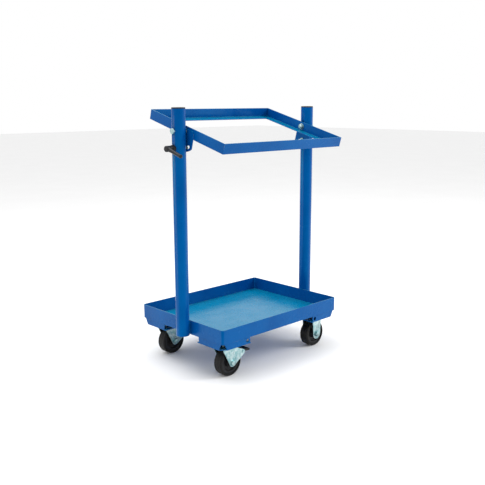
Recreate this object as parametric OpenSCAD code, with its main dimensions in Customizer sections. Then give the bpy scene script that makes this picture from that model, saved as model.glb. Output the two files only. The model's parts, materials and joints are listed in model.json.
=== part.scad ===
// Tray trolley: a shallow sheet-steel tray on four casters, with two tube uprights
// that carry a tilting angle-steel frame held by a clamp lever.
// +Z is up, -Y is the front, X runs along the long side. Millimetres.

/* [Tray] */
// Length of the tray along X
tray_length = 610; // [560:10:720]
// Width of the tray along Y
tray_width = 460; // [420:10:560]
// Height of the tray sides
tray_depth = 52; // [40:1:80]
// Thickness of the tray sheet
tray_sheet = 2.5; // [1.5:0.5:4]
// Outside radius of the tray's upright corners
tray_corner_r = 9; // [6:1:16]

/* [Corner brackets] */
// Depth of a bracket between the caster plate and the tray
bracket_depth = 24; // [20:1:36]
// Length of a bracket along each side of the tray
bracket_length = 134; // [132:1:150]
// Thickness of the bracket sheet
bracket_sheet = 3; // [2:0.5:4]
// Diameter of the hole in a bracket's lug
lug_hole_d = 14; // [8:1:16]

/* [Uprights] */
// Outside diameter of the upright tubes
tube_d = 48.3; // [42.4, 48.3]
// Wall thickness of the upright tubes
tube_wall = 2.6; // [2:0.1:3.2]
// Height of the top of the tube caps above the floor
overall_height = 950; // [930:10:1050]
// How far the uprights stand in front of the tray's middle
upright_forward = 44; // [0:1:60]
// Thickness of a cap above its tube
cap_height = 5; // [3:1:8]

/* [Tilting frame] */
// Height of the tilt axis above the floor
pivot_height = 870.5; // [800:0.5:880]
// Width of the frame across the tilt axis
frame_width = 406; // [360:2:440]
// Width of each leg of the angle steel
angle_leg = 36; // [30:1:40]
// Thickness of the angle steel
angle_sheet = 3; // [2:0.5:4]
// Tilt of the frame from level, front edge down
frame_tilt = 15.6; // [0:0.1:30]
// Steepest tilt that the slot allows
tilt_limit = 35.6; // [31:0.1:40]
// Radius of the slot round the tilt axis
slot_radius = 58; // [54:1:64]

/* [Clamp lever] */
// Length of the lever from its hub to its tip
lever_length = 70; // [50:1:90]
// Slope of the lever below level
lever_droop = 18; // [0:1:40]

/* [Casters] */
// Height of a caster from the floor to its mounting face
caster_height = 122; // [120:1:140]
// Diameter of the wheels
wheel_d = 102; // [96:1:104]
// Width of the tyres
tyre_width = 38; // [28:1:44]
// Distance of the casters' plates from the tray's short sides
caster_inset_x = 66; // [64:1:74]
// Distance of the casters' plates from the tray's long sides
caster_inset_y = 66; // [60:1:72]
// How far a swivel wheel trails behind its kingpin, towards the tray's middle
trail = 16; // [14:1:24]

/* [Hidden] */
$fn = 48;

PAINT = [0.03, 0.30, 0.62];
ZINC = [0.78, 0.80, 0.80];
BLACK = [0.08, 0.08, 0.09];

// Heights
tray_base_z = caster_height + bracket_depth;
rim_z = tray_base_z + tray_depth;
tube_top_z = overall_height - cap_height;
slot_z = pivot_height - slot_radius;
axle_z = wheel_d / 2;

// Distances out from the middle of the tray along X, the same on both sides
tube_r = tube_d / 2;
tube_x = tray_length / 2 + tube_r;
tube_outer_x = tube_x + tube_r;
side_gap = 1;
quadrant_outer_x = tray_length / 2 - side_gap;
quadrant_sheet = 3;
quadrant_inner_x = quadrant_outer_x - quadrant_sheet;
bar_inner_x = quadrant_inner_x - angle_sheet;
frame_length = 2 * quadrant_inner_x;
slide_gap = 0.2;

// Round fasteners
pivot_r = 6;
stud_r = 5;
axle_r = 6;
kingpin_r = 6;
caster_bolt_r = 4;
fit_gap = 0.05;
bolt_gap = 0.2;
hex_head_r = 10.4;
hex_head_h = 7;
hex_nut_h = 8;
thread_end = 3;
big_washer_r = 12;
big_washer_h = 2;
thrust_washer_h = 0.8;
saddle_h = 8;
hub_length = 26;
hub_r = 10.5;
hub_end = 4;
bush_wall = 3;
stud_head_h = 4.8;
stud_head_r = 9;

// Quadrant plate, measured from the tilt axis
quadrant_r = slot_radius + 14;
quadrant_front = 50;
quadrant_back = 22;
quadrant_up = 10;
slot_half = stud_r + 0.3;

// Casters
plate_h = 3;
plate_size = [84, 78];
plate_corner_r = 6;
bolt_pitch = [64, 61];
fork_sheet = 3;
fork_inner_y = tyre_width / 2 + 6;
fork_outer_y = fork_inner_y + fork_sheet;
plate_bottom_z = caster_height - plate_h;
race_h = 7;
crown_top_z = plate_bottom_z - race_h;
crown_bottom_z = crown_top_z - fork_sheet;
crown_r = 28;
ball_r = 3;
ball_circle_r = 20;
ball_count = 14;
race_wall = 3;
race_clear = 1;
rivet_head_r = 9;
rivet_head_h = 4;
kingpin_hole_r = 13;
swivel_leg_r = 14;
rigid_leg_r = 20;
rigid_leg_top_r = 24;
leg_top_r = 8;
leg_top_half = 18;

// Wheels, as radii and half widths
tyre_inner_r = axle_z - 9;
shoulder_r = 6;
rim_inner_r = tyre_inner_r - 8;
rim_half = tyre_width / 2 - 3;
web_half = 6;
hub_outer_r = 17;
hub_half = tyre_width / 2 + 1;
wheel_bush_r = 9;
bush_half = fork_inner_y - slide_gap;

// Brake pedal, measured from the kingpin and the floor
brake_pin_r = 3;
brake_pin = [trail + wheel_d / 2 + 1, axle_z + 30];
pedal_hub_r = 6.5;
pedal_knee = brake_pin + [16, -1];
pedal_tip = brake_pin + [40, -3];
shoe_angle = 236;
pedal_half = fork_inner_y - slide_gap;
pedal_tread_half = 17;

// The middle of the part's own overall box, seen from the middle of the tray
lever_outer_x = tube_outer_x + saddle_h + slide_gap + hub_length;
bolt_outer_x = tube_outer_x + hex_head_h;
frame_front_y = upright_forward + frame_width / 2 * cos(frame_tilt)
    + angle_leg / 2 * sin(frame_tilt);
shift_x = round((lever_outer_x - bolt_outer_x) / 2);
shift_y = round((frame_front_y - tray_width / 2) / 2);

// Where the casters stand
caster_x = tray_length / 2 - caster_inset_x;
caster_y = tray_width / 2 - caster_inset_y;

// ---- Placing ----

// Moves the tray's middle so that the overall box stands centred on the origin
module placed() translate([shift_x, shift_y, 0]) children();

// Draws on the right side, or mirrored on the left when side is -1
module on_side(side) {
    if (side < 0) mirror([1, 0, 0]) children();
    else children();
}

// Puts the origin at a corner of the tray, with +X and +Y pointing inwards
module at_corner(side_x, side_y)
    translate([side_x * tray_length / 2, side_y * tray_width / 2, 0])
        mirror([side_x > 0 ? 1 : 0, 0, 0])
            mirror([0, side_y > 0 ? 1 : 0, 0])
                children();

// Puts the origin on the floor under a kingpin
module at_swivel(side_y) translate([-caster_x, side_y * caster_y, 0]) children();

// Puts the origin on the floor under a rigid caster's wheel
module at_rigid(side_y) translate([caster_x, side_y * caster_y, 0]) children();

// Puts the origin on the tilt axis, turned with the frame
module at_frame()
    translate([0, -upright_forward, pivot_height]) rotate([frame_tilt, 0, 0]) children();

// ---- Shapes ----

module rounded_rect(length, width, r) {
    square([length - 2 * r, width], center = true);
    square([length, width - 2 * r], center = true);
    for (x = [-1, 1], y = [-1, 1])
        translate([x * (length / 2 - r), y * (width / 2 - r)]) circle(r = r);
}

// Outline round two circles, joined by their outer tangents
module link(a, ra, b, rb) {
    heading = atan2(b[1] - a[1], b[0] - a[0]);
    spread = acos((ra - rb) / norm(b - a));
    near = [cos(heading + spread), sin(heading + spread)];
    far = [cos(heading - spread), sin(heading - spread)];
    translate(a) circle(r = ra);
    translate(b) circle(r = rb);
    polygon([a + ra * near, a + ra * far, b + rb * far, b + rb * near]);
}

// Wedge of a plane between two bearings
module sector(from, to, reach)
    polygon([
        [0, 0],
        reach * [cos(from), sin(from)],
        reach * [cos((from + to) / 2), sin((from + to) / 2)],
        reach * [cos(to), sin(to)]
    ]);

// Solid from an outline in X and Z, between two values of Y
module along_y(from, to)
    translate([0, to, 0]) rotate([90, 0, 0]) linear_extrude(to - from) children();

// Solid from an outline in Y and Z, between two values of X
module along_x(from, to)
    translate([from, 0, 0]) rotate([90, 0, 90]) linear_extrude(to - from) children();

// Rod along X at a given Y and Z
module rod_x(from, to, y, z, r)
    translate([from, y, z]) rotate([0, 90, 0]) cylinder(r = r, h = to - from);

// Hexagonal rod along X at a given Y and Z
module hex_x(from, to, y, z, r)
    translate([from, y, z]) rotate([0, 90, 0]) cylinder(r = r, h = to - from, $fn = 6);

// Rod along Y at a given X and Z
module rod_y(from, to, x, z, r)
    translate([x, to, z]) rotate([90, 0, 0]) cylinder(r = r, h = to - from);

// Hexagonal rod along Y at a given X and Z
module hex_y(from, to, x, z, r)
    translate([x, to, z]) rotate([90, 0, 0]) cylinder(r = r, h = to - from, $fn = 6);

// ---- Tray ----

module tray() color(PAINT) placed() translate([0, 0, tray_base_z]) difference() {
    linear_extrude(tray_depth) rounded_rect(tray_length, tray_width, tray_corner_r);
    translate([0, 0, tray_sheet]) linear_extrude(tray_depth)
        rounded_rect(
            tray_length - 2 * tray_sheet, tray_width - 2 * tray_sheet,
            tray_corner_r - tray_sheet
        );
}

// ---- Corner brackets ----

bracket_set_back = 2;
bevel_top = 12;
bevel_low = 25;
lug_r = bracket_depth / 2 + 0.5;
lug_u = bracket_length - lug_r;
lug_z = caster_height + lug_r;

// Upright flange seen from outside: bevelled at the corner of the tray, round at its other end
module flange_outline(lug_length) intersection() {
    union() {
        polygon([
            [bevel_top, tray_base_z],
            [bevel_low, caster_height],
            [lug_length - lug_r, caster_height],
            [lug_length - lug_r, tray_base_z]
        ]);
        translate([lug_length - lug_r, lug_z]) circle(r = lug_r);
        translate([lug_length - lug_r, lug_z]) square([lug_r, bracket_depth]);
    }
    translate([0, caster_height]) square([2 * bracket_length, bracket_depth]);
}

// The caster plate's four bolt holes, or whatever is drawn at them
module at_bolts()
    for (x = [-1, 1], y = [-1, 1])
        translate([x * bolt_pitch[0] / 2, y * bolt_pitch[1] / 2, 0]) children();

// Pressed pan with two flanges, welded under a corner of the tray
module corner_bracket(side_x, side_y) color(PAINT) placed() at_corner(side_x, side_y) {
    pan_end = bracket_length + 4;
    difference() {
        along_y(bracket_set_back, bracket_set_back + bracket_sheet)
            flange_outline(bracket_length);
        rod_y(0, bevel_top, lug_u, lug_z, lug_hole_d / 2);
    }
    along_x(bracket_set_back, bracket_set_back + bracket_sheet)
        flange_outline(bracket_length - 4);
    translate([0, 0, caster_height]) linear_extrude(bracket_sheet) difference() {
        polygon([
            [bevel_low, bracket_set_back],
            [pan_end, bracket_set_back],
            [pan_end, pan_end - bevel_low],
            [pan_end - bevel_low, pan_end],
            [bracket_set_back, pan_end],
            [bracket_set_back, bevel_low]
        ]);
        translate([caster_inset_x, caster_inset_y]) at_bolts() circle(r = caster_bolt_r + bolt_gap);
        if (side_x < 0) translate([caster_inset_x, caster_inset_y]) circle(r = kingpin_hole_r);
    }
}

// ---- Uprights ----

// Tube welded to a short side of the tray, drilled across for the pivot and the slot bolt
module upright(side) color(PAINT) placed() on_side(side) difference() {
    translate([tube_x, -upright_forward, tray_base_z])
        cylinder(r = tube_r, h = tube_top_z - tray_base_z);
    translate([tube_x, -upright_forward, tray_base_z - 1])
        cylinder(r = tube_r - tube_wall, h = tube_top_z - tray_base_z + 2);
    rod_x(tube_x - tube_d, tube_x + tube_d, -upright_forward, pivot_height, pivot_r + bolt_gap);
    rod_x(tube_x - tube_d, tube_x + tube_d, -upright_forward, slot_z, stud_r + bolt_gap);
}

// Plastic plug: a flat lid on the tube with a stem inside it
module upright_cap(side) color(BLACK) placed() on_side(side)
    translate([tube_x, -upright_forward, tube_top_z]) {
        cylinder(r = tube_r, h = cap_height - 1);
        translate([0, 0, cap_height - 1]) cylinder(r1 = tube_r, r2 = tube_r - 1, h = 1);
        translate([0, 0, -18]) cylinder(r = tube_r - tube_wall - 0.1, h = 18);
    }

// Weld beads in the corners between each tube and the tray side
module upright_welds() color(PAINT) placed()
    for (side = [-1, 1], edge = [-1, 1]) on_side(side)
        translate([tray_length / 2, -upright_forward, tray_base_z + 1])
            linear_extrude(tray_depth - 2) difference() {
                polygon([[0, 5 * edge], [0, 15 * edge], [4.5, 12.5 * edge], [4.5, 5 * edge]]);
                translate([tube_r, 0]) circle(r = tube_r);
            }

// ---- Pivot ----

pivot_washer_x = bar_inner_x - slide_gap;
pivot_nut_x = pivot_washer_x - big_washer_h;

module pivot_bolts() color(ZINC) placed() for (side = [-1, 1]) on_side(side) {
    hex_x(tube_outer_x, tube_outer_x + hex_head_h, -upright_forward, pivot_height, hex_head_r);
    rod_x(pivot_nut_x - hex_nut_h - thread_end, tube_outer_x, -upright_forward, pivot_height,
        pivot_r);
}

module pivot_nuts() color(ZINC) placed() for (side = [-1, 1]) on_side(side) difference() {
    hex_x(pivot_nut_x - hex_nut_h, pivot_nut_x, -upright_forward, pivot_height, hex_head_r);
    rod_x(pivot_nut_x - 2 * hex_nut_h, tube_x, -upright_forward, pivot_height, pivot_r);
}

// A thin thrust washer by each tube and a plain washer under each nut
module pivot_washers() color(ZINC) placed() for (side = [-1, 1]) on_side(side) difference() {
    union() {
        rod_x(pivot_nut_x, pivot_washer_x, -upright_forward, pivot_height, big_washer_r);
        rod_x(quadrant_outer_x + (side_gap - thrust_washer_h) / 2,
            tray_length / 2 - (side_gap - thrust_washer_h) / 2,
            -upright_forward, pivot_height, big_washer_r);
    }
    rod_x(0, tube_x, -upright_forward, pivot_height, pivot_r);
}

// ---- Clamp on the left, guide bolt on the right ----

slot_washer_x = quadrant_inner_x - slide_gap;
slot_head_x = slot_washer_x - big_washer_h;
saddle_outer_x = tube_outer_x + saddle_h;
hub_inner_x = saddle_outer_x + slide_gap;
hub_outer_x = hub_inner_x + hub_length;

// Fixed stud with a domed head inside the plate and its thread in the lever
module clamp_stud() color(ZINC) placed() on_side(-1) {
    rod_x(slot_head_x - stud_head_h / 2, slot_head_x, -upright_forward, slot_z, stud_head_r);
    translate([slot_head_x - stud_head_h / 2, -upright_forward, slot_z]) rotate([0, -90, 0])
        cylinder(r1 = stud_head_r, r2 = stud_head_r / 2, h = stud_head_h / 2);
    rod_x(slot_head_x, hub_outer_x - hub_end - 1, -upright_forward, slot_z, stud_r);
}

// Block between the lever and the tube, hollowed to fit the tube
module clamp_saddle() color(BLACK) placed() on_side(-1) difference() {
    rod_x(tube_outer_x - 3, saddle_outer_x, -upright_forward, slot_z, big_washer_r);
    translate([tube_x, -upright_forward, tray_base_z]) cylinder(r = tube_r, h = tube_top_z);
    rod_x(tube_x, saddle_outer_x + 1, -upright_forward, slot_z, stud_r);
}

module guide_bolt() color(ZINC) placed() {
    hex_x(tube_outer_x, tube_outer_x + hex_head_h, -upright_forward, slot_z, hex_head_r - 1);
    rod_x(slot_head_x - hex_nut_h - thread_end, tube_outer_x, -upright_forward, slot_z, stud_r);
}

module guide_nut() color(ZINC) placed() difference() {
    hex_x(slot_head_x - hex_nut_h, slot_head_x, -upright_forward, slot_z, hex_head_r - 1);
    rod_x(slot_head_x - 2 * hex_nut_h, tube_x, -upright_forward, slot_z, stud_r);
}

module slot_washers() color(ZINC) placed() for (side = [-1, 1]) on_side(side) difference() {
    rod_x(slot_head_x, slot_washer_x, -upright_forward, slot_z, big_washer_r);
    rod_x(0, tube_x, -upright_forward, slot_z, stud_r);
}

// Moulded hub with a round handle
module clamp_lever() color(BLACK) placed() on_side(-1) difference() {
    union() {
        rod_x(hub_inner_x, hub_outer_x, -upright_forward, slot_z, hub_r);
        translate([hub_outer_x - hub_r, -upright_forward, slot_z])
            rotate([90 + lever_droop, 0, 0]) {
                cylinder(r1 = 8, r2 = 6, h = lever_length);
                translate([0, 0, lever_length]) sphere(r = 7);
            }
    }
    rod_x(hub_inner_x - 1, hub_outer_x - hub_end, -upright_forward, slot_z, stud_r + bush_wall);
}

// Threaded steel bush pressed into the lever's hub
module clamp_lever_bush() color(ZINC) placed() on_side(-1) difference() {
    rod_x(hub_inner_x, hub_outer_x - hub_end, -upright_forward, slot_z, stud_r + bush_wall);
    rod_x(hub_inner_x - 1, hub_outer_x, -upright_forward, slot_z, stud_r + fit_gap);
}

// ---- Tilting frame ----

// Angle bar along X with mitred ends, its outer face towards -Y
module angle_bar(length, reach) intersection() {
    translate([0, 0, -angle_leg / 2]) linear_extrude(angle_leg) polygon([
        [-length / 2, -reach],
        [length / 2, -reach],
        [length / 2 - angle_leg, -reach + angle_leg],
        [-length / 2 + angle_leg, -reach + angle_leg]
    ]);
    union() {
        translate([-length / 2, -reach, -angle_leg / 2]) cube([length, angle_sheet, angle_leg]);
        translate([-length / 2, -reach, -angle_leg / 2]) cube([length, angle_leg, angle_sheet]);
    }
}

module frame_long_bar(turn) color(PAINT) placed() at_frame()
    rotate([0, 0, turn]) angle_bar(frame_length, frame_width / 2);

module frame_side_bar(side) color(PAINT) placed() at_frame() difference() {
    rotate([0, 0, 90 * side]) angle_bar(frame_width, frame_length / 2);
    rod_x(-frame_length, frame_length, 0, 0, pivot_r + fit_gap);
}

// Points along an arc, from one bearing to another
function arc(centre, r, from, to, steps) = [
    for (i = [0 : steps])
        let (bearing = from + (to - from) * i / steps)
        centre + r * [cos(bearing), sin(bearing)]
];

// Plate outline in Y and Z: a quadrant about the tilt axis with rounded lower corners
module quadrant_outline() {
    front_r = 12;
    back_r = 8;
    front_lean = asin((quadrant_front - front_r) / (quadrant_r - front_r));
    back_lean = asin((quadrant_back - back_r) / (quadrant_r - back_r));
    front_centre = (quadrant_r - front_r) * [-sin(front_lean), -cos(front_lean)];
    back_centre = (quadrant_r - back_r) * [sin(back_lean), -cos(back_lean)];
    polygon(concat(
        arc(front_centre, front_r, 180, 270 - front_lean, 8),
        arc([0, 0], quadrant_r, 270 - front_lean, 270 + back_lean, 24),
        arc(back_centre, back_r, 270 + back_lean, 360, 8),
        [
            [quadrant_back, quadrant_up - back_r],
            [quadrant_back - back_r, quadrant_up],
            [-quadrant_front + back_r, quadrant_up],
            [-quadrant_front, quadrant_up - back_r]
        ]
    ));
}

// Steel plate on the outside of a side bar, with a slot that runs past the fixed bolt
module quadrant_plate(side) color(PAINT) placed() at_frame() on_side(side)
    along_x(quadrant_inner_x, quadrant_outer_x) difference() {
        quadrant_outline();
        circle(r = pivot_r + fit_gap);
        intersection() {
            difference() {
                circle(r = slot_radius + slot_half);
                circle(r = slot_radius - slot_half);
            }
            sector(-90 - tilt_limit, -90, 2 * quadrant_r);
        }
        for (end = [0, tilt_limit])
            rotate(-90 - end) translate([slot_radius, 0]) circle(r = slot_half);
    }

// ---- Swivel casters at the left end ----

// Top plate with the cup that covers the ball race
module swivel_plate(side_y) color(ZINC) placed() at_swivel(side_y) {
    translate([0, 0, plate_bottom_z]) linear_extrude(plate_h) difference() {
        rounded_rect(plate_size[0], plate_size[1], plate_corner_r);
        at_bolts() circle(r = caster_bolt_r + bolt_gap);
        circle(r = kingpin_r);
    }
    translate([0, 0, crown_top_z + race_clear]) linear_extrude(race_h - race_clear) difference() {
        circle(r = crown_r);
        circle(r = crown_r - race_wall);
    }
}

// Rivet that holds the fork up against the plate
module kingpins() color(ZINC) placed() for (side_y = [-1, 1]) at_swivel(side_y) {
    translate([0, 0, caster_height]) cylinder(r = rivet_head_r, h = rivet_head_h);
    translate([0, 0, crown_bottom_z - slide_gap - rivet_head_h])
        cylinder(r = rivet_head_r, h = rivet_head_h);
    translate([0, 0, crown_bottom_z - slide_gap - rivet_head_h])
        cylinder(r = kingpin_r, h = caster_height - crown_bottom_z + 2 * rivet_head_h);
}

module swivel_balls() color(ZINC) placed() for (side_y = [-1, 1]) at_swivel(side_y)
    for (i = [0 : ball_count - 1])
        rotate(i * 360 / ball_count)
            translate([ball_circle_r, 0, (crown_top_z + plate_bottom_z) / 2]) sphere(r = ball_r);

// Side of a swivel fork: from the crown back to the axle and forward to the brake pin
module swivel_leg_outline() {
    axle = [trail, axle_z];
    top_back = [-leg_top_half, crown_top_z - leg_top_r];
    top_front = [leg_top_half, crown_top_z - leg_top_r];
    ear_r = 9;
    link(top_back, leg_top_r, axle, swivel_leg_r);
    link(top_front, leg_top_r, brake_pin, ear_r);
    link(axle, swivel_leg_r, brake_pin, ear_r);
    link(top_back, leg_top_r, top_front, leg_top_r);
    polygon([top_back, top_front, brake_pin, axle]);
}

// Pressed fork: a round crown and two legs
module swivel_fork(side_y) color(ZINC) placed() at_swivel(side_y) difference() {
    union() {
        for (side = [-1, 1])
            along_y(side * (fork_inner_y + fork_sheet / 2) - fork_sheet / 2,
                side * (fork_inner_y + fork_sheet / 2) + fork_sheet / 2)
                swivel_leg_outline();
        translate([0, 0, crown_bottom_z]) linear_extrude(fork_sheet) {
            circle(r = crown_r);
            square([2 * leg_top_half, 2 * fork_outer_y], center = true);
        }
    }
    translate([0, 0, crown_bottom_z - 1]) cylinder(r = kingpin_r + fit_gap, h = 2 * fork_sheet);
    rod_y(-2 * fork_outer_y, 2 * fork_outer_y, trail, axle_z, axle_r + bolt_gap);
    rod_y(-2 * fork_outer_y, 2 * fork_outer_y, brake_pin[0], brake_pin[1], brake_pin_r);
}

// Moulded foot pedal: a hub on the pin, a tread and a short shoe that faces the tyre
module brake_pedal(side_y) color(BLACK) placed() at_swivel(side_y) difference() {
    union() {
        along_y(-pedal_half, pedal_half) {
            translate(brake_pin) circle(r = pedal_hub_r);
            link(brake_pin, 5, brake_pin + 6.2 * [cos(shoe_angle), sin(shoe_angle)], 2.4);
        }
        along_y(-pedal_tread_half, pedal_tread_half) {
            link(brake_pin, pedal_hub_r, pedal_knee, 4);
            link(pedal_knee, 4, pedal_tip, 3.5);
        }
    }
    rod_y(-fork_outer_y, fork_outer_y, brake_pin[0], brake_pin[1], brake_pin_r + fit_gap);
}

module brake_pin(side_y) color(ZINC) placed() at_swivel(side_y) {
    rod_y(-fork_outer_y, fork_outer_y, brake_pin[0], brake_pin[1], brake_pin_r);
    for (side = [-1, 1])
        rod_y(side * (fork_outer_y + 1) - 1, side * (fork_outer_y + 1) + 1,
            brake_pin[0], brake_pin[1], 2 * brake_pin_r);
}

// ---- Rigid casters at the right end ----

// Plate and two straight legs, folded from one sheet
module rigid_fork(side_y) color(ZINC) placed() at_rigid(side_y) {
    leg_rise = 10;
    leg_top = plate_bottom_z - leg_rise;
    difference() {
        union() {
            for (side = [-1, 1])
                along_y(side * (fork_inner_y + fork_sheet / 2) - fork_sheet / 2,
                    side * (fork_inner_y + fork_sheet / 2) + fork_sheet / 2) {
                    link([0, leg_top], rigid_leg_top_r, [0, axle_z], rigid_leg_r);
                    translate([-rigid_leg_top_r, leg_top]) square([2 * rigid_leg_top_r, leg_rise]);
                }
        }
        translate([0, 0, plate_bottom_z + 25]) cube([100, 100, 50], center = true);
        rod_y(-2 * fork_outer_y, 2 * fork_outer_y, 0, axle_z, axle_r + bolt_gap);
    }
    translate([0, 0, plate_bottom_z]) linear_extrude(plate_h) difference() {
        rounded_rect(plate_size[0], plate_size[1], plate_corner_r);
        at_bolts() circle(r = caster_bolt_r + bolt_gap);
    }
}

// ---- Wheels ----

// Axle bolt with its head towards the front, centred on a wheel
module axle_bolt() {
    hex_y(-fork_outer_y - hex_head_h, -fork_outer_y, 0, axle_z, hex_head_r);
    rod_y(-fork_outer_y, fork_outer_y + hex_nut_h + thread_end, 0, axle_z, axle_r);
}

module axle_nut() difference() {
    hex_y(fork_outer_y, fork_outer_y + hex_nut_h, 0, axle_z, hex_head_r);
    rod_y(0, 2 * fork_outer_y, 0, axle_z, axle_r);
}

module swivel_axle(side_y) color(ZINC) placed() at_wheel(-1, side_y) axle_bolt();

module swivel_axle_nut(side_y) color(ZINC) placed() at_wheel(-1, side_y) axle_nut();

module rigid_axles() color(ZINC) placed() for (side_y = [-1, 1]) at_wheel(1, side_y) axle_bolt();

module rigid_axle_nuts() color(ZINC) placed() for (side_y = [-1, 1]) at_wheel(1, side_y) axle_nut();

// Turns a profile of radius and width into a wheel round the axle
module turned() translate([0, 0, axle_z]) rotate([90, 0, 0]) rotate_extrude() children();

// Puts a wheel part under its caster
module at_wheel(side_x, side_y)
    translate([side_x < 0 ? trail - caster_x : caster_x, side_y * caster_y, 0]) children();

// Moulded wheel centre: rim, web and hub
module wheel_core(side_x, side_y) color(BLACK) placed() at_wheel(side_x, side_y) turned()
    polygon([
        [wheel_bush_r, -hub_half],
        [hub_outer_r - 1, -hub_half],
        [hub_outer_r, -hub_half + 2],
        [hub_outer_r + 2, -web_half],
        [rim_inner_r - 2, -web_half],
        [rim_inner_r, -rim_half],
        [tyre_inner_r, -rim_half],
        [tyre_inner_r, rim_half],
        [rim_inner_r, rim_half],
        [rim_inner_r - 2, web_half],
        [hub_outer_r + 2, web_half],
        [hub_outer_r, hub_half - 2],
        [hub_outer_r - 1, hub_half],
        [wheel_bush_r, hub_half]
    ]);

// Solid rubber ring with round shoulders
module tyre(side_x, side_y) color(BLACK) placed() at_wheel(side_x, side_y) turned() intersection() {
    translate([tyre_inner_r, -tyre_width / 2]) square([axle_z - tyre_inner_r, tyre_width]);
    union() {
        square([2 * (axle_z - shoulder_r), tyre_width], center = true);
        square([2 * axle_z, tyre_width - 2 * shoulder_r], center = true);
        for (side = [-1, 1])
            translate([axle_z - shoulder_r, side * (tyre_width / 2 - shoulder_r)])
                circle(r = shoulder_r);
    }
}

// Plain bush that turns on the axle and keeps the wheel clear of the fork
module wheel_bush(side_x, side_y) color(ZINC) placed() at_wheel(side_x, side_y) turned()
    translate([axle_r + fit_gap, -bush_half]) square([wheel_bush_r - axle_r - fit_gap, 2 * bush_half]);

// ---- Caster fasteners ----

// Draws something at each of the sixteen caster bolts
module at_caster_bolts() placed() for (side_y = [-1, 1]) {
    at_swivel(side_y) at_bolts() children();
    at_rigid(side_y) at_bolts() children();
}

caster_head_h = 5.3;
caster_head_r = 7.5;
caster_nut_h = 6.5;

module caster_bolts() color(ZINC) at_caster_bolts() {
    translate([0, 0, plate_bottom_z - caster_head_h])
        cylinder(r = caster_head_r, h = caster_head_h, $fn = 6);
    translate([0, 0, plate_bottom_z])
        cylinder(r = caster_bolt_r, h = plate_h + bracket_sheet + caster_nut_h + 1);
}

module caster_nuts() color(ZINC) at_caster_bolts()
    translate([0, 0, caster_height + bracket_sheet]) difference() {
        cylinder(r = caster_head_r, h = caster_nut_h, $fn = 6);
        translate([0, 0, -1]) cylinder(r = caster_bolt_r, h = caster_nut_h + 2);
    }

// ---- Nodes ----

tray();
corner_bracket(-1, -1);  // corner_bracket_front_left
corner_bracket(1, -1);  // corner_bracket_front_right
corner_bracket(-1, 1);  // corner_bracket_back_left
corner_bracket(1, 1);  // corner_bracket_back_right
upright(-1);  // upright_left
upright(1);  // upright_right
upright_cap(-1);  // upright_cap_left
upright_cap(1);  // upright_cap_right
upright_welds();
pivot_bolts();
pivot_nuts();
pivot_washers();
clamp_stud();
clamp_saddle();
guide_bolt();
guide_nut();
slot_washers();
frame_long_bar(0);  // frame_front_bar
frame_long_bar(180);  // frame_back_bar
frame_side_bar(-1);  // frame_left_bar
frame_side_bar(1);  // frame_right_bar
quadrant_plate(-1);  // quadrant_plate_left
quadrant_plate(1);  // quadrant_plate_right
clamp_lever();
clamp_lever_bush();
swivel_plate(-1);  // swivel_plate_front_left
swivel_plate(1);  // swivel_plate_back_left
kingpins();
swivel_balls();
swivel_fork(-1);  // swivel_fork_front_left
swivel_fork(1);  // swivel_fork_back_left
rigid_fork(-1);  // rigid_fork_front_right
rigid_fork(1);  // rigid_fork_back_right
swivel_axle(-1);  // axle_front_left
swivel_axle(1);  // axle_back_left
swivel_axle_nut(-1);  // axle_nut_front_left
swivel_axle_nut(1);  // axle_nut_back_left
rigid_axles();
rigid_axle_nuts();
wheel_core(-1, -1);  // wheel_core_front_left
wheel_core(-1, 1);  // wheel_core_back_left
wheel_core(1, -1);  // wheel_core_front_right
wheel_core(1, 1);  // wheel_core_back_right
tyre(-1, -1);  // tyre_front_left
tyre(-1, 1);  // tyre_back_left
tyre(1, -1);  // tyre_front_right
tyre(1, 1);  // tyre_back_right
wheel_bush(-1, -1);  // wheel_bush_front_left
wheel_bush(-1, 1);  // wheel_bush_back_left
wheel_bush(1, -1);  // wheel_bush_front_right
wheel_bush(1, 1);  // wheel_bush_back_right
brake_pedal(-1);  // brake_pedal_front_left
brake_pedal(1);  // brake_pedal_back_left
brake_pin(-1);  // brake_pin_front_left
brake_pin(1);  // brake_pin_back_left
caster_bolts();
caster_nuts();
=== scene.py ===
import json
import math

import bpy
import numpy as np
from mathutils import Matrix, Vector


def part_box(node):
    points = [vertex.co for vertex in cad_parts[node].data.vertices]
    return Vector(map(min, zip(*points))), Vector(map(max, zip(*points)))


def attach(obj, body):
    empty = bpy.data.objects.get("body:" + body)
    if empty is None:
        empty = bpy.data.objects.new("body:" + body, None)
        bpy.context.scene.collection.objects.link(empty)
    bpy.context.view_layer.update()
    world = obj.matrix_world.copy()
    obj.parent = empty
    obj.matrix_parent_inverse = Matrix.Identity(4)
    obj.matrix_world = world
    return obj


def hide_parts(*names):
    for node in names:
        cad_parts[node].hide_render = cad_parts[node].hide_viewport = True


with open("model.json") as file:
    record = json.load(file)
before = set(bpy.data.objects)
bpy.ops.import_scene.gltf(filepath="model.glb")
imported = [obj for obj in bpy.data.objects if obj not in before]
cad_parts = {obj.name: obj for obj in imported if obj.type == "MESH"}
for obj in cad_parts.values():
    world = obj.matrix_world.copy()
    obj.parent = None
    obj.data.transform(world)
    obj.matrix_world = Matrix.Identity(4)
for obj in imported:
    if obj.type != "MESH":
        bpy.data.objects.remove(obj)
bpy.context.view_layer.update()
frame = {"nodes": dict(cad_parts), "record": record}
shown = frame["nodes"]
behaviour = frame["record"]["behaviour"]
bodies = behaviour["bodies"]
joints = {joint["name"]: np.array(joint["pos_m"]) for joint in behaviour["joints"]}

# ---- Tray ----
# A shallow pan folded from 2.5 mm steel sheet, its corners welded and ground round.
# It is powder coated blue: a glossy skin with a faint orange peel, a painted
# reflection that makes it lighter and more cyan where it faces up, patches of dust
# there, and rubbed through to grey steel along its edges.


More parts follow.
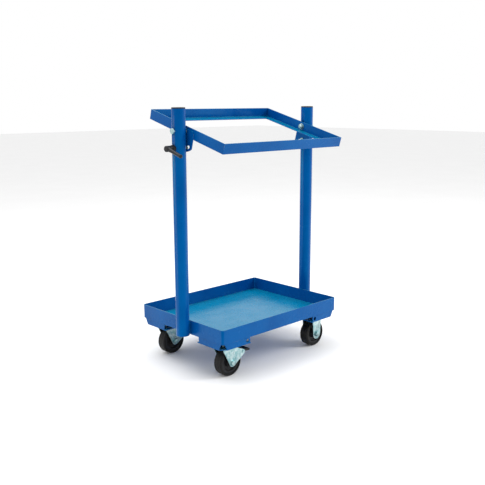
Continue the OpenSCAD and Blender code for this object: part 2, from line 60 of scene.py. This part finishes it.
def start_material(name):
    """An empty material: its tree, its shader and the piece's own coordinates."""
    material = bpy.data.materials.new(name)
    material.use_nodes = True
    tree = material.node_tree
    place = tree.nodes.new("ShaderNodeTexCoord").outputs["Object"]
    return material, tree, tree.nodes["Principled BSDF"], place


def speckle(tree, place, size, detail=3.0):
    """Noise from 0 to 1 whose lumps are about size metres across."""
    noise = tree.nodes.new("ShaderNodeTexNoise")
    noise.inputs["Scale"].default_value = 1.0 / size
    noise.inputs["Detail"].default_value = detail
    tree.links.new(place, noise.inputs["Vector"])
    return noise.outputs["Fac"]


def stretch(tree, value, low, high, to_low, to_high):
    """Carries value from the span low to high onto to_low to to_high, and stops at its ends."""
    span = tree.nodes.new("ShaderNodeMapRange")
    for socket, number in zip(span.inputs[1:5], (low, high, to_low, to_high)):
        socket.default_value = number
    tree.links.new(value, span.inputs["Value"])
    return span.outputs["Result"]


def times(tree, first, second):
    """The product of two values."""
    product = tree.nodes.new("ShaderNodeMath")
    product.operation = "MULTIPLY"
    tree.links.new(first, product.inputs[0])
    tree.links.new(second, product.inputs[1])
    return product.outputs["Value"]


def tint(tree, amount, first, second):
    """A colour that goes from first to second as amount goes from 0 to 1."""
    mix = tree.nodes.new("ShaderNodeMix")
    mix.data_type = "RGBA"
    tree.links.new(amount, mix.inputs["Factor"])
    for socket, colour in zip((mix.inputs[6], mix.inputs[7]), (first, second)):
        if isinstance(colour, tuple):
            socket.default_value = (*colour, 1.0)
        else:
            tree.links.new(colour, socket)
    return mix.outputs[2]


def emboss(tree, shader, height, depth, under=None):
    """Raises the surface by depth metres where height is 1."""
    bump = tree.nodes.new("ShaderNodeBump")
    bump.inputs["Distance"].default_value = depth
    tree.links.new(height, bump.inputs["Height"])
    if under is not None:
        tree.links.new(under, bump.inputs["Normal"])
    tree.links.new(bump.outputs["Normal"], shader.inputs["Normal"])
    return bump.outputs["Normal"]


def make_edge_rub():
    """Group: 1 in chipped patches along outward edges, 0 on open faces."""
    reach = 0.0016
    flat, sharp = 0.96, 0.80
    patch_size = 0.022
    sound, chipped = 0.52, 0.62
    group = bpy.data.node_groups.new("edge_rub", "ShaderNodeTree")
    group.interface.new_socket("Rub", in_out="OUTPUT", socket_type="NodeSocketFloat")
    rounded = group.nodes.new("ShaderNodeBevel")
    rounded.samples = 4
    rounded.inputs["Radius"].default_value = reach
    straight = group.nodes.new("ShaderNodeNewGeometry")
    cosine = group.nodes.new("ShaderNodeVectorMath")
    cosine.operation = "DOT_PRODUCT"
    group.links.new(rounded.outputs["Normal"], cosine.inputs[0])
    group.links.new(straight.outputs["Normal"], cosine.inputs[1])
    edge = stretch(group, cosine.outputs["Value"], flat, sharp, 0.0, 1.0)
    place = group.nodes.new("ShaderNodeTexCoord").outputs["Object"]
    patches = stretch(group, speckle(group, place, patch_size, detail=6.0), sound, chipped, 0.0, 1.0)
    out = group.nodes.new("NodeGroupOutput")
    group.links.new(times(group, edge, patches), out.inputs["Rub"])
    return group


def make_upward_sheen_and_dust():
    """Group: Up goes from 0 on walls to 1 on faces that look straight up and masks a painted reflection;
    Dust is Up broken into soft patches.
    """
    steep, level = 0.35, 0.95
    patch_size = 0.09
    clean, dusty = 0.42, 0.75
    group = bpy.data.node_groups.new("upward_sheen_and_dust", "ShaderNodeTree")
    group.interface.new_socket("Up", in_out="OUTPUT", socket_type="NodeSocketFloat")
    group.interface.new_socket("Dust", in_out="OUTPUT", socket_type="NodeSocketFloat")
    normal = group.nodes.new("ShaderNodeNewGeometry").outputs["Normal"]
    parts = group.nodes.new("ShaderNodeSeparateXYZ")
    group.links.new(normal, parts.inputs["Vector"])
    up = stretch(group, parts.outputs["Z"], steep, level, 0.0, 1.0)
    place = group.nodes.new("ShaderNodeTexCoord").outputs["Object"]
    patches = stretch(group, speckle(group, place, patch_size, detail=8.0), clean, dusty, 0.0, 1.0)
    out = group.nodes.new("NodeGroupOutput")
    group.links.new(up, out.inputs["Up"])
    group.links.new(times(group, up, patches), out.inputs["Dust"])
    return group


edge_rub = make_edge_rub()
upward_sheen_and_dust = make_upward_sheen_and_dust()


def grouped(tree, group, output):
    """One output of a shared group."""
    node = next((n for n in tree.nodes if getattr(n, "node_tree", None) == group), None)
    if node is None:
        node = tree.nodes.new("ShaderNodeGroup")
        node.node_tree = group
    return node.outputs[output]


def make_powder_coat():
    """Blue powder coat on steel sheet and tube, with a painted reflection that makes faces looking up
    lighter and more cyan.
    """
    deep_blue = (0.0, 0.055, 0.245)
    bright_blue = (0.0, 0.076, 0.295)
    painted_reflection_blue = (0.0, 0.165, 0.320)
    dust_grey = (0.03, 0.20, 0.28)
    bare_steel = (0.16, 0.18, 0.20)
    cloud_size = 0.16
    thickest_dust = 0.14
    smear_size = 0.045
    glossy, satin = 0.18, 0.34
    dent_size, dent_depth = 0.06, 0.0006
    peel_size, peel_depth = 0.0022, 0.00006
    material, tree, shader, place = start_material("powder_coat")
    clouds = stretch(tree, speckle(tree, place, cloud_size), 0.35, 0.65, 0.0, 1.0)
    colour = tint(tree, clouds, deep_blue, bright_blue)
    # Painted reflection: faces that look up are tinted a lighter cyan blue to stand in for the bright light
    # they mirror.
    colour = tint(tree, grouped(tree, upward_sheen_and_dust, "Up"), colour, painted_reflection_blue)
    thin_dust = stretch(tree, grouped(tree, upward_sheen_and_dust, "Dust"), 0.0, 1.0, 0.0, thickest_dust)
    colour = tint(tree, thin_dust, colour, dust_grey)
    rub = grouped(tree, edge_rub, "Rub")
    colour = tint(tree, rub, colour, bare_steel)
    tree.links.new(colour, shader.inputs["Base Color"])
    smears = stretch(tree, speckle(tree, place, smear_size, detail=6.0), 0.3, 0.75, glossy, satin)
    tree.links.new(smears, shader.inputs["Roughness"])
    shader.inputs["Specular IOR Level"].default_value = 0.38
    shader.inputs["Specular Tint"].default_value = (0.02, 0.62, 0.85, 1.0)
    peel = speckle(tree, place, peel_size, detail=1.0)
    dents = speckle(tree, place, dent_size, detail=2.0)
    waves = emboss(tree, shader, dents, dent_depth)
    emboss(tree, shader, peel, peel_depth, waves)
    return material


powder_coat = make_powder_coat()


def finish_node(name, material, edge):
    """Gives a CAD node its material and breaks its sharp edges with a round of width edge."""
    same_point = 0.00002
    sharp = math.radians(35)
    piece = shown[name]
    piece.data.materials.clear()
    piece.data.materials.append(material)
    weld = piece.modifiers.new("merge", "WELD")
    weld.merge_threshold = same_point
    if edge:
        round_off = piece.modifiers.new("broken_edge", "BEVEL")
        round_off.width = edge
        round_off.segments = 2
        round_off.limit_method = "ANGLE"
        round_off.angle_limit = sharp
        round_off.harden_normals = True


finish_node("tray", powder_coat, edge=0.0008)

# ---- Corner brackets ----
# Four pressed pans welded under the tray. Each carries a caster and has a lug
# with a round hole for a strap or hook.

CORNERS = ("front_left", "front_right", "back_left", "back_right")
for corner in CORNERS:
    finish_node("corner_bracket_" + corner, powder_coat, edge=0.0006)

# ---- Uprights ----
# Two lengths of round steel tube, welded to the short sides of the tray with a bead
# in each corner, and closed at the top by a moulded plug. Shorter beads of the same
# kind hold the brackets under the tray.

for side in ("left", "right"):
    finish_node("upright_" + side, powder_coat, edge=0)


def join_shells(shells):
    """Vertices and faces of closed shells, each a grid of points whose columns run round it.
    Its rows join up too when the shell is a ring; otherwise a flat face closes each end."""
    verts, faces, first = [], [], 0
    for points, ring in shells:
        rows, columns = points.shape[:2]
        index = first + np.arange(rows * columns).reshape(rows, columns)
        across = np.roll(index, -1, axis=1)
        upper = np.roll(index, -1, axis=0) if ring else index[1:]
        upper_across = np.roll(across, -1, axis=0) if ring else across[1:]
        lower, lower_across = (index, across) if ring else (index[:-1], across[:-1])
        faces += np.stack([lower, lower_across, upper_across, upper], axis=-1).reshape(-1, 4).tolist()
        if not ring:
            faces += [index[0, ::-1].tolist(), index[-1].tolist()]
        verts.append(points.reshape(-1, 3))
        first += rows * columns
    return np.concatenate(verts), faces


def body_of(node):
    """Name of the rigid body that a node moves with."""
    return next(body for body, nodes in bodies.items() if node in nodes)


def box_of(node):
    """Low and high corner of a node as arrays."""
    return (np.array(corner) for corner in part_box(node))


def add_piece(name, shells, material, body, replaced=None):
    """Makes a piece from its shells, rides it on a body and, if asked, lets it stand for a node."""
    crease = math.radians(40)
    verts, faces = join_shells(shells)
    mesh = bpy.data.meshes.new(name)
    mesh.from_pydata(verts.tolist(), [], faces)
    mesh.shade_smooth()
    mesh.set_sharp_from_angle(angle=crease)
    mesh.materials.append(material)
    piece = bpy.data.objects.new(name, mesh)
    bpy.context.scene.collection.objects.link(piece)
    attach(piece, body)
    if replaced:
        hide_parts(replaced)


def weld_bead(start, end, size):
    """A bead from start to end: a round section whose radius is size, swollen by half a sine
    wave in every ripple, drawn in at both ends as a square root, and wandering to the side by
    the sum of two sine waves of the distance run. Its rows follow the line."""
    ripple = 0.0022
    rows_per_ripple = 6
    fewest_rows = 12
    columns = 14
    askew = [0.31, 0.55, 0.77]
    slow, quick, lag = 310.0, 811.0, 1.3
    start, end = np.array(start), np.array(end)
    length = np.linalg.norm(end - start)
    along = (end - start) / length
    side = np.cross(along, askew)
    side /= np.linalg.norm(side)
    other = np.cross(along, side)
    run = np.linspace(0.0, length, max(fewest_rows, int(length / ripple * rows_per_ripple)))
    wander = 0.12 * np.sin(run * slow) + 0.07 * np.sin(run * quick + lag)
    swell = 0.80 + 0.20 * np.abs(np.sin(np.pi * run / ripple)) + 0.3 * wander
    ends = np.sqrt(np.clip(np.minimum(run, length - run) / size, 0.02, 1.0))
    radius = (size * swell * ends)[:, None]
    turn = np.linspace(0.0, 2.0 * np.pi, columns, endpoint=False)[None, :]
    middle = start + run[:, None] * along + (wander * size * 0.5)[:, None] * side
    points = (middle[:, None, :] + (radius * np.cos(turn))[..., None] * side
              + (radius * np.sin(turn))[..., None] * other)
    return points, False


# The beads run up both sides of each tube, in the corner between it and the tray's side.
tray_low, tray_high = box_of("tray")
pivot_y, pivot_z = joints["frame_tilt"][1:]
bead_size = 0.0034
bead_reach = 0.0105
bead_out = 0.0008
bead_margin = 0.002
beads = []
for wall_x, out in ((tray_low[0], -1), (tray_high[0], 1)):
    for edge in (-1, 1):
        spot_x = wall_x + out * bead_out
        spot_y = pivot_y + edge * bead_reach
        beads.append(weld_bead((spot_x, spot_y, tray_low[2] + bead_margin),
                               (spot_x, spot_y, tray_high[2] - bead_margin), bead_size))
add_piece("upright_weld_beads", beads, powder_coat, "chassis", "upright_welds")

# The stitches lie along the top of each bracket's two flanges.
stitch_starts = (0.028, 0.088)
stitch_length = 0.022
stitch_r = 0.0011
stitch_inset = 0.0013
stitch_z = tray_low[2] - 0.0003
stitches = []
for end_x, in_x in ((tray_low[0], 1), (tray_high[0], -1)):
    for end_y, in_y in ((tray_low[1], 1), (tray_high[1], -1)):
        line_x = end_x + in_x * stitch_inset
        line_y = end_y + in_y * stitch_inset
        for start in stitch_starts:
            stop = start + stitch_length
            stitches.append(weld_bead((end_x + in_x * start, line_y, stitch_z),
                                      (end_x + in_x * stop, line_y, stitch_z), stitch_r))
            stitches.append(weld_bead((line_x, end_y + in_y * start, stitch_z),
                                      (line_x, end_y + in_y * stop, stitch_z), stitch_r))
add_piece("bracket_weld_stitches", stitches, powder_coat, "chassis")


def make_black_plastic():
    """Moulded black plastic: fine spark-eroded grain, greyer where hands rub it."""
    fresh_black = (0.010, 0.010, 0.011)
    rubbed_black = (0.022, 0.023, 0.025)
    scuff_grey = (0.07, 0.07, 0.07)
    handled_size = 0.02
    smooth, dull = 0.32, 0.5
    grain_size, grain_depth = 0.0007, 0.00006
    material, tree, shader, place = start_material("black_plastic")
    handled = stretch(tree, speckle(tree, place, handled_size, detail=5.0), 0.4, 0.7, 0.0, 1.0)
    colour = tint(tree, handled, fresh_black, rubbed_black)
    colour = tint(tree, grouped(tree, edge_rub, "Rub"), colour, scuff_grey)
    tree.links.new(colour, shader.inputs["Base Color"])
    tree.links.new(stretch(tree, handled, 0.0, 1.0, smooth, dull), shader.inputs["Roughness"])
    shader.inputs["Specular IOR Level"].default_value = 0.25
    emboss(tree, shader, speckle(tree, place, grain_size, detail=2.0), grain_depth)
    return material


black_plastic = make_black_plastic()


def turned(heights, radii, centre, axis, columns=48, ring=False):
    """Points round an axis: row i lies at heights[i] along it, at radii[i] from it.
    A radius may be one number or one for each column."""
    along = np.array(axis, dtype=float)
    side = np.cross(along, [0.0, 0.0, 1.0] if abs(along[2]) < 0.9 else [1.0, 0.0, 0.0])
    side /= np.linalg.norm(side)
    other = np.cross(along, side)
    turn = np.linspace(0.0, 2.0 * np.pi, columns, endpoint=False)
    radius = np.array([np.broadcast_to(r, columns) for r in radii])
    height = np.array([np.broadcast_to(h, columns) for h in heights])
    points = (np.array(centre) + (radius * np.cos(turn))[..., None] * side
              + (radius * np.sin(turn))[..., None] * other + height[..., None] * along)
    return points, ring


def add_cap(side):
    """Turns a cap's profile: up the stem that grips the inside of the tube, out under the lid,
    round its rolled edge and in over its top."""
    lid_h = 0.005
    edge_r = 0.0028
    edge_fall = 0.85
    stem_step = 0.0027
    stem_taper = 0.001
    lid_taper = 0.0002
    crown = 0.0001
    crown_from, crown_to = 0.55, 0.2
    node = "upright_cap_" + side
    cap_low, cap_high = box_of(node)
    lid_r = (cap_high[0] - cap_low[0]) / 2
    stem_r = lid_r - stem_step
    foot = cap_low[2] - cap_high[2]
    bend = np.linspace(0.0, np.pi / 2, 7)
    heights = np.concatenate([[foot + stem_taper, foot + 2 * stem_taper, -lid_h, -lid_h],
                              -edge_r + edge_r * edge_fall * np.sin(bend), [-crown, 0.0]])
    radii = np.concatenate([[stem_r - stem_taper, stem_r, stem_r, lid_r - lid_taper],
                            lid_r - edge_r + edge_r * np.cos(bend), [lid_r * crown_from, lid_r * crown_to]])
    top = (*(cap_low[:2] + cap_high[:2]) / 2, cap_high[2])
    add_piece("cap_" + side, [turned(heights, radii, top, (0, 0, 1), columns=64)], black_plastic,
              body_of(node), node)


for side in ("left", "right"):
    add_cap(side)

# ---- Pivot and slot fasteners ----
# Zinc-plated steel: two M12 bolts on which the frame tilts, an M10 bolt that slides in
# the right plate's slot, and their nuts and washers. The hexagons are forged with their
# corners cut back, and the threads are rolled.


def make_zinc():
    """Bright zinc plate: soft cloudy spangle, pale green-blue passivation, dull smears."""
    pale_zinc = (0.52, 0.66, 0.66)
    green_zinc = (0.24, 0.44, 0.46)
    dull_zinc = (0.11, 0.15, 0.16)
    spangle_size = 0.012
    grime_size = 0.035
    smear_size = 0.006
    bright, dull = 0.22, 0.42
    pit_size, pit_depth = 0.0012, 0.00004
    material, tree, shader, place = start_material("zinc_plate")
    spangle = stretch(tree, speckle(tree, place, spangle_size, detail=4.0), 0.35, 0.65, 0.0, 1.0)
    colour = tint(tree, spangle, pale_zinc, green_zinc)
    grime = stretch(tree, speckle(tree, place, grime_size, detail=8.0), 0.55, 0.72, 0.0, 0.8)
    colour = tint(tree, grime, colour, dull_zinc)
    tree.links.new(colour, shader.inputs["Base Color"])
    shader.inputs["Metallic"].default_value = 1.0
    rough = stretch(tree, speckle(tree, place, smear_size, detail=6.0), 0.3, 0.7, bright, dull)
    tree.links.new(rough, shader.inputs["Roughness"])
    emboss(tree, shader, speckle(tree, place, pit_size, detail=3.0), pit_depth)
    return material


zinc = make_zinc()
hex_columns = 48
corner_cuts = np.array([0.0, 0.0003, 0.0006, 0.0009, 0.0013])
countersink = 0.0008

M12 = {"shank_r": 0.006, "hex_r": 0.0104, "head_h": 0.007, "threaded": 0.014, "pitch": 0.00175}
M10 = {"shank_r": 0.005, "hex_r": 0.0094, "head_h": 0.007, "threaded": 0.013, "pitch": 0.0015}
M8 = {"shank_r": 0.004, "hex_r": 0.0075, "head_h": 0.0053, "threaded": 0.009, "pitch": 0.00125}


def hexagon(r):
    """Distance from the middle to the edge of a hexagon with corners at r, round its columns."""
    turn = np.linspace(0.0, 360.0, hex_columns, endpoint=False)
    return r * math.cos(math.radians(30)) / np.cos(np.radians(turn % 60.0 - 30.0))


def chamfered(r, depths):
    """Hexagon radii at depths below a face, cut back by a 30 degree cone at the corners."""
    face_share = 0.96
    cone = face_share * r * math.cos(math.radians(30))
    return [np.minimum(hexagon(r), cone + depth / math.tan(math.radians(30))) for depth in depths]


def hex_bolt(head_face, out, length, size):
    """A bolt whose head faces out. Its thread is a ridge that climbs one pitch in each turn:
    the radius follows a triangle wave of height along the bolt plus the angle round it."""
    thread_depth = 0.0009
    tip_taper = 0.0015
    neck_share = 0.84
    rows_per_pitch = 6.0
    collar = 0.0002
    shank_r, hex_r, pitch = size["shank_r"], size["hex_r"], size["pitch"]
    turn = np.linspace(0.0, 1.0, hex_columns, endpoint=False)
    run = np.arange(countersink, size["threaded"], pitch / rows_per_pitch)
    wave = np.abs(2.0 * ((run[:, None] / pitch - turn) % 1.0) - 1.0)
    ridge = shank_r - thread_depth * wave
    neck = length - size["head_h"]
    heights = [0.0, *run, size["threaded"] + countersink, neck, neck, neck + collar,
               *(length - corner_cuts[::-1])]
    radii = [shank_r - tip_taper, *ridge, shank_r, shank_r, hex_r * neck_share, hexagon(hex_r),
             *chamfered(hex_r, corner_cuts[::-1])]
    foot = np.array(head_face) - length * np.array(out)
    return turned(heights, radii, foot, out, hex_columns)


def hex_nut(face, out, height, size):
    """A nut whose outer face is at face: both rims are cut by a cone, and the bore is countersunk."""
    bore_r = size["shank_r"]
    lip = bore_r + countersink
    heights = [0.0, *corner_cuts, *(height - corner_cuts[::-1]),
               height, height - countersink, countersink]
    radii = [lip, *chamfered(size["hex_r"], corner_cuts), *chamfered(size["hex_r"], corner_cuts[::-1]),
             lip, bore_r, bore_r]
    foot = np.array(face) - height * np.array(out)
    return turned(heights, radii, foot, out, hex_columns, ring=True)


# Pivot bolts: M12, heads outwards, one through each tube, with a nut inside the frame.
slot_z = joints["clamp_lever_turn"][2]
bolt_low, bolt_high = box_of("pivot_bolts")
nut_low, nut_high = box_of("pivot_nuts")
nut_h = 0.008
thread_out = 0.003
pivot_bolts, pivot_nuts = [], []
for head_x, nut_x, out in ((bolt_low[0], nut_low[0] + nut_h, -1), (bolt_high[0], nut_high[0] - nut_h, 1)):
    reach = abs(head_x - nut_x) + thread_out
    pivot_bolts.append(hex_bolt((head_x, pivot_y, pivot_z), (out, 0, 0), reach, M12))
    pivot_nuts.append(hex_nut((nut_x, pivot_y, pivot_z), (-out, 0, 0), nut_h, M12))
add_piece("pivot_bolt_pair", pivot_bolts, zinc, "chassis", "pivot_bolts")
add_piece("pivot_nut_pair", pivot_nuts, zinc, "chassis", "pivot_nuts")

# Guide bolt: M10, through the right tube and the slot of the right quadrant plate.
guide_low, guide_high = box_of("guide_bolt")
guide_bolt = hex_bolt((guide_high[0], pivot_y, slot_z), (1, 0, 0), guide_high[0] - guide_low[0], M10)
add_piece("guide_bolt_m10", [guide_bolt], zinc, "chassis", "guide_bolt")
guide_nut_low, _ = box_of("guide_nut")
guide_nut = hex_nut((guide_nut_low[0], pivot_y, slot_z), (-1, 0, 0), nut_h, M10)
add_piece("guide_nut_m10", [guide_nut], zinc, "chassis", "guide_nut")
for name in ("pivot_washers", "slot_washers"):
    finish_node(name, zinc, edge=0.0002)

# ---- Tilting frame ----
# Four mitred and welded lengths of 36 mm angle steel, with a slotted quadrant
# plate on the outside of each side bar.

for bar in ("front", "back", "left", "right"):
    finish_node("frame_" + bar + "_bar", powder_coat, edge=0.0006)
for side in ("left", "right"):
    finish_node("quadrant_plate_" + side, powder_coat, edge=0.0005)

# ---- Clamp lever ----
# A zinc-plated stud with a domed head, a plastic saddle against the tube, and a
# moulded lever turned on a threaded steel bush.

finish_node("clamp_stud", zinc, edge=0.0004)
finish_node("clamp_saddle", black_plastic, edge=0.0005)

lever_low, lever_high = box_of("clamp_lever")
hub_r = 0.0105


def lever_hub():
    """A round boss: in along its blind bore, out over its foot, up its side and round its top."""
    length = 0.026
    roll_r = 0.003
    bore_r = 0.008
    bore_depth = length - 0.004
    foot_cut = 0.0008
    roll = np.linspace(0.0, np.pi / 2, 6)
    heights = np.concatenate([[bore_depth, 0.0, 0.0, foot_cut], length - roll_r + roll_r * np.sin(roll)])
    radii = np.concatenate([[bore_r, bore_r, hub_r - foot_cut, hub_r],
                            hub_r - roll_r + roll_r * np.cos(roll)])
    return turned(heights, radii, (lever_high[0], pivot_y, slot_z), (-1, 0, 0), columns=48)


def lever_arm():
    """A round handle: its radius falls off as an exponential where it leaves the hub, down to
    a thin stem, then follows a circle round the ball at its tip."""
    droop = math.radians(18)
    reach, ball = 0.070, 0.007
    stem_r, flare, flare_length = 0.0062, 0.0036, 0.012
    root = (lever_low[0] + hub_r, pivot_y, slot_z)
    run = np.linspace(0.004, reach, 30)[:-4]
    stem = stem_r + flare * np.exp(-run / flare_length)
    tip = np.linspace(-0.7, np.pi / 2 - 0.05, 16)
    heights = np.concatenate([run, reach + ball * np.sin(tip)])
    radii = np.concatenate([stem, ball * np.cos(tip)])
    return turned(heights, radii, root, (0, -math.cos(droop), -math.sin(droop)), columns=40)


add_piece("clamp_handle", [lever_hub(), lever_arm()], black_plastic, "lever", "clamp_lever")
finish_node("clamp_lever_bush", zinc, edge=0.0003)

# ---- Casters ----
# Pressed zinc-plated forks. The left two swivel on a ball race under a riveted
# kingpin and have a foot brake; the right two are fixed.

SWIVEL = ("front_left", "back_left")
RIGID = ("front_right", "back_right")
for corner in SWIVEL:
    finish_node("swivel_plate_" + corner, zinc, edge=0.0005)
    finish_node("swivel_fork_" + corner, zinc, edge=0.0006)
    finish_node("brake_pin_" + corner, zinc, edge=0.0004)
    finish_node("brake_pedal_" + corner, black_plastic, edge=0.0008)
for corner in RIGID:
    finish_node("rigid_fork_" + corner, zinc, edge=0.0006)


def add_pedal_ribs(corner):
    """Seven half-round ribs across the top of a foot pedal, from its knee to its tip."""
    knee = np.array([0.016, 0.0, 0.0028])
    tip = np.array([0.040, 0.0, 0.0004])
    half = 0.0155
    rib_r = 0.001
    hinge = joints["brake_press_" + corner]
    heights = half * np.array([-1.0, -0.97, 0.97, 1.0])
    radii = rib_r * np.array([0.5, 1.0, 1.0, 0.5])
    ribs = [turned(heights, radii, hinge + knee + share * (tip - knee), (0, 1, 0), columns=12)
            for share in np.linspace(0.0, 1.0, 7)]
    add_piece("pedal_ribs_" + corner, ribs, black_plastic, "pedal_" + corner)


for corner in SWIVEL:
    add_pedal_ribs(corner)

# Axle bolts: M12, heads towards the front, nuts at the back. The rigid pair shares a node.
axle_low, axle_high = box_of("axle_front_left")
axle_length = axle_high[1] - axle_low[1]
head_reach = joints["wheel_spin_front_left"][1] - axle_low[1]
nut_reach = axle_length - head_reach - thread_out
for axle_node, nut_node, corners in (("axle_front_left", "axle_nut_front_left", ("front_left",)),
                                     ("axle_back_left", "axle_nut_back_left", ("back_left",)),
                                     ("rigid_axles", "rigid_axle_nuts", RIGID)):
    hubs = [joints["wheel_spin_" + corner] for corner in corners]
    bolts = [hex_bolt(hub - (0, head_reach, 0), (0, -1, 0), axle_length, M12) for hub in hubs]
    nuts = [hex_nut(hub + (0, nut_reach, 0), (0, 1, 0), nut_h, M12) for hub in hubs]
    add_piece(axle_node + "_bolt", bolts, zinc, body_of(axle_node), axle_node)
    add_piece(axle_node + "_locknut", nuts, zinc, body_of(nut_node), nut_node)

# Plate bolts: four M8 in each caster's plate, heads below, nuts inside the bracket.
screws_low, screws_high = box_of("caster_bolts")
nuts_low, nuts_high = box_of("caster_nuts")
pitch_x, pitch_y = 0.064, 0.061
plates = [joints["caster_swivel_" + corner] for corner in SWIVEL]
plates += [joints["wheel_spin_" + corner] for corner in RIGID]
plate_bolts, plate_nuts = [], []
for plate in plates:
    for step_x in (-0.5, 0.5):
        for step_y in (-0.5, 0.5):
            spot_x = plate[0] + step_x * pitch_x
            spot_y = plate[1] + step_y * pitch_y
            plate_bolts.append(hex_bolt((spot_x, spot_y, screws_low[2]), (0, 0, -1),
                                        screws_high[2] - screws_low[2], M8))
            plate_nuts.append(hex_nut((spot_x, spot_y, nuts_high[2]), (0, 0, 1),
                                      nuts_high[2] - nuts_low[2], M8))
add_piece("plate_bolts", plate_bolts, zinc, "chassis", "caster_bolts")
add_piece("plate_nuts", plate_nuts, zinc, "chassis", "caster_nuts")
for name in ("kingpins", "swivel_balls"):
    finish_node(name, zinc, edge=0)

# ---- Wheels ----
# A moulded black centre with a solid rubber tyre round it, turning on a plain steel
# bush. One groove runs round each sidewall and two run round the tread.


def make_rubber():
    """Black rubber: matt, with road dust in its pores."""
    clean_rubber = (0.003, 0.003, 0.003)
    dusty_rubber = (0.014, 0.014, 0.013)
    dust_size = 0.014
    satin, matt = 0.40, 0.70
    pore_size, pore_depth = 0.0012, 0.00012
    material, tree, shader, place = start_material("tyre_rubber")
    dust = stretch(tree, speckle(tree, place, dust_size, detail=8.0), 0.45, 0.75, 0.0, 1.0)
    tree.links.new(tint(tree, dust, clean_rubber, dusty_rubber), shader.inputs["Base Color"])
    tree.links.new(stretch(tree, dust, 0.0, 1.0, satin, matt), shader.inputs["Roughness"])
    shader.inputs["Specular IOR Level"].default_value = 0.22
    emboss(tree, shader, speckle(tree, place, pore_size, detail=5.0), pore_depth)
    return material


rubber = make_rubber()


def add_tyre(corner):
    """Turns the tyre's closed section round the axle: from its inner edge out along a sidewall
    with a bell-shaped groove, round a shoulder, across a tread that falls off as a parabola and
    has two more bell-shaped grooves, and back again."""
    rubber_depth, shoulder = 0.009, 0.006
    wall_groove, wall_groove_from, wall_groove_width = 0.0006, 0.0012, 0.0004
    tread_groove, tread_groove_at, tread_groove_width = 0.0009, 0.0075, 0.0007
    crown_drop = 0.0004
    node = "tyre_" + corner
    tyre_low, tyre_high = box_of(node)
    outer = (tyre_high[2] - tyre_low[2]) / 2
    half = (tyre_high[1] - tyre_low[1]) / 2
    inner = outer - rubber_depth
    flank = half - shoulder
    wall = np.linspace(inner, outer - shoulder, 9)
    groove = wall_groove * np.exp(-((wall - inner - wall_groove_from) / wall_groove_width) ** 2)
    bend = np.linspace(0.0, np.pi / 2, 9)
    tread = np.linspace(-flank, flank, 33)[1:-1]
    crown = outer - crown_drop * (tread / half) ** 2
    crown -= tread_groove * sum(np.exp(-((tread - line) / tread_groove_width) ** 2)
                                for line in (-tread_groove_at, tread_groove_at))
    radii = np.concatenate([wall, outer - shoulder + shoulder * np.sin(bend[1:]), crown,
                            outer - shoulder + shoulder * np.cos(bend[:-1]), wall[::-1]])
    heights = np.concatenate([groove - half, -flank - shoulder * np.cos(bend[1:]), tread,
                              flank + shoulder * np.sin(bend[:-1]), (half - groove)[::-1]])
    section = turned(heights, radii, joints["wheel_spin_" + corner], (0, 1, 0), columns=96, ring=True)
    add_piece("rubber_tyre_" + corner, [section], rubber, "wheel_" + corner, node)


for corner in CORNERS:
    finish_node("wheel_core_" + corner, black_plastic, edge=0.0008)
    add_tyre(corner)
    finish_node("wheel_bush_" + corner, zinc, edge=0.0003)

# ---- Studio ----
# A plain pale floor and even, bright light, with one softbox from the front right
# and a weaker one above. The camera stands off the front left corner, level with
# the tops of the uprights.


def make_floor():
    """Flat square of pale, slightly rough paper, 40 m across."""
    half = 20.0
    darker_paper = (0.86, 0.86, 0.86)
    lighter_paper = (0.90, 0.90, 0.90)
    cloud_size = 0.4
    mesh = bpy.data.meshes.new("studio_floor")
    corners = [(-half, -half, 0.0), (half, -half, 0.0), (half, half, 0.0), (-half, half, 0.0)]
    mesh.from_pydata(corners, [], [(0, 1, 2, 3)])
    floor = bpy.data.objects.new("studio_floor", mesh)
    bpy.context.scene.collection.objects.link(floor)
    material, tree, shader, place = start_material("floor_paper")
    clouds = speckle(tree, place, cloud_size)
    tree.links.new(tint(tree, clouds, darker_paper, lighter_paper), shader.inputs["Base Color"])
    shader.inputs["Roughness"].default_value = 0.9
    mesh.materials.append(material)


def make_light(name, spot, aim, size, power):
    """Square softbox at spot, facing aim."""
    lamp = bpy.data.lights.new(name, "AREA")
    lamp.size = size
    lamp.energy = power
    box = bpy.data.objects.new(name, lamp)
    bpy.context.scene.collection.objects.link(box)
    direction = np.array(aim) - np.array(spot)
    heading = math.atan2(direction[1], direction[0])
    drop = math.atan2(math.hypot(direction[0], direction[1]), -direction[2])
    box.location = spot
    box.rotation_euler = (drop, 0.0, heading - math.pi / 2)


make_floor()
make_light("key_softbox", spot=(2.6, -2.6, 2.6), aim=(0.0, 0.0, 0.5), size=1.6, power=75)
make_light("top_softbox", spot=(-0.6, 0.8, 3.2), aim=(0.0, 0.0, 0.4), size=2.5, power=60)

world = bpy.data.worlds.new("studio")
bpy.context.scene.world = world
world.use_nodes = True
world.node_tree.nodes["Background"].inputs["Color"].default_value = (1.0, 1.0, 1.0, 1.0)
world.node_tree.nodes["Background"].inputs["Strength"].default_value = 1.0
bpy.context.scene.view_settings.view_transform = "Standard"

camera = bpy.data.cameras.new("camera")
camera.sensor_width = 36.0
camera.lens = 51.61
camera.dof.use_dof = False
eye = bpy.data.objects.new("camera", camera)
bpy.context.scene.collection.objects.link(eye)
eye.location = (-1.8097, -1.9110, 0.9627)
eye.rotation_euler = (math.radians(78.66), math.radians(0.18), math.radians(-43.76))
bpy.context.scene.camera = eye
